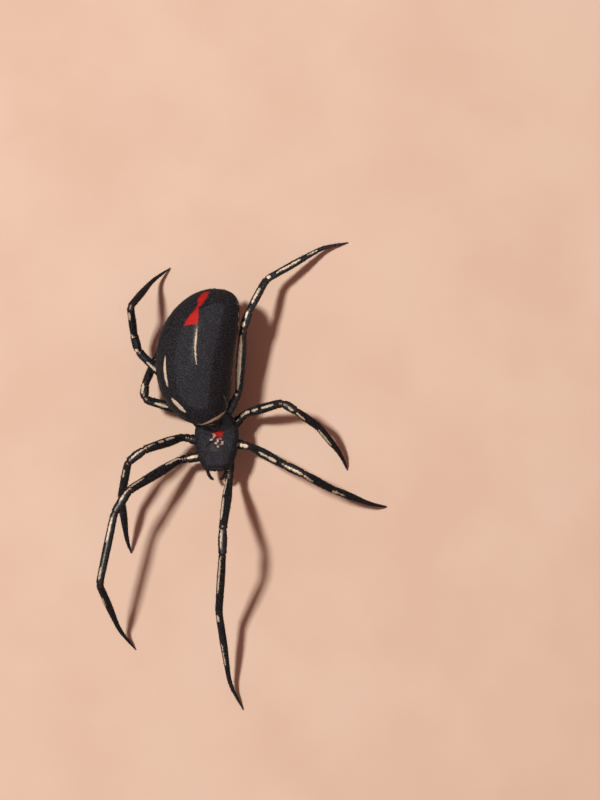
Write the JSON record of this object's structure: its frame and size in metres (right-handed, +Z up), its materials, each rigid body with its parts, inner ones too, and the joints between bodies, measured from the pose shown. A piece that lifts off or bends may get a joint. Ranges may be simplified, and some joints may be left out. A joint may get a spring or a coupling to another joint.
{
  "type": "black widow spider model",
  "caption": "Still life-size model of an adult female black widow spider, standing on spread legs with a glossy black abdomen that has a red mark.",
  "frame": {"origin": "the middle of the bounding box, at floor level", "axes": "+Y from head to tail, +X to the spider's left, +Z up"},
  "size_m": [0.0198, 0.032, 0.0078],
  "materials": {
    "abdomen_cuticle": "glossy black cuticle of the abdomen, finely dimpled, with a red mark",
    "carapace_cuticle": "glossy black cuticle of the cephalothorax, with a small red patch",
    "leg_cuticle": "glossy black leg cuticle with pale joints and fine bristles",
    "mouthpart_cuticle": "very dark red-brown cuticle of the jaws and palps",
    "soft_cuticle": "dark brown softer cuticle of the waist and spinnerets"
  },
  "bodies": {
    "root": {"abdomen": "abdomen_cuticle", "cephalothorax": "carapace_cuticle", "pedicel": "soft_cuticle", "spinnerets": "soft_cuticle", "chelicera_left": "mouthpart_cuticle", "pedipalp_left": "mouthpart_cuticle", "leg_1_left_femur": "leg_cuticle", "leg_1_left_tibia": "leg_cuticle", "leg_1_left_foot": "leg_cuticle", "leg_2_left_femur": "leg_cuticle", "leg_2_left_tibia": "leg_cuticle", "leg_2_left_foot": "leg_cuticle", "leg_3_left_femur": "leg_cuticle", "leg_3_left_tibia": "leg_cuticle", "leg_3_left_foot": "leg_cuticle", "leg_4_left_femur": "leg_cuticle", "leg_4_left_tibia": "leg_cuticle", "leg_4_left_foot": "leg_cuticle", "chelicera_right": "mouthpart_cuticle", "pedipalp_right": "mouthpart_cuticle", "leg_1_right_femur": "leg_cuticle", "leg_1_right_tibia": "leg_cuticle", "leg_1_right_foot": "leg_cuticle", "leg_2_right_femur": "leg_cuticle", "leg_2_right_tibia": "leg_cuticle", "leg_2_right_foot": "leg_cuticle", "leg_3_right_femur": "leg_cuticle", "leg_3_right_tibia": "leg_cuticle", "leg_3_right_foot": "leg_cuticle", "leg_4_right_femur": "leg_cuticle", "leg_4_right_tibia": "leg_cuticle", "leg_4_right_foot": "leg_cuticle"}
  },
  "joints": []
}
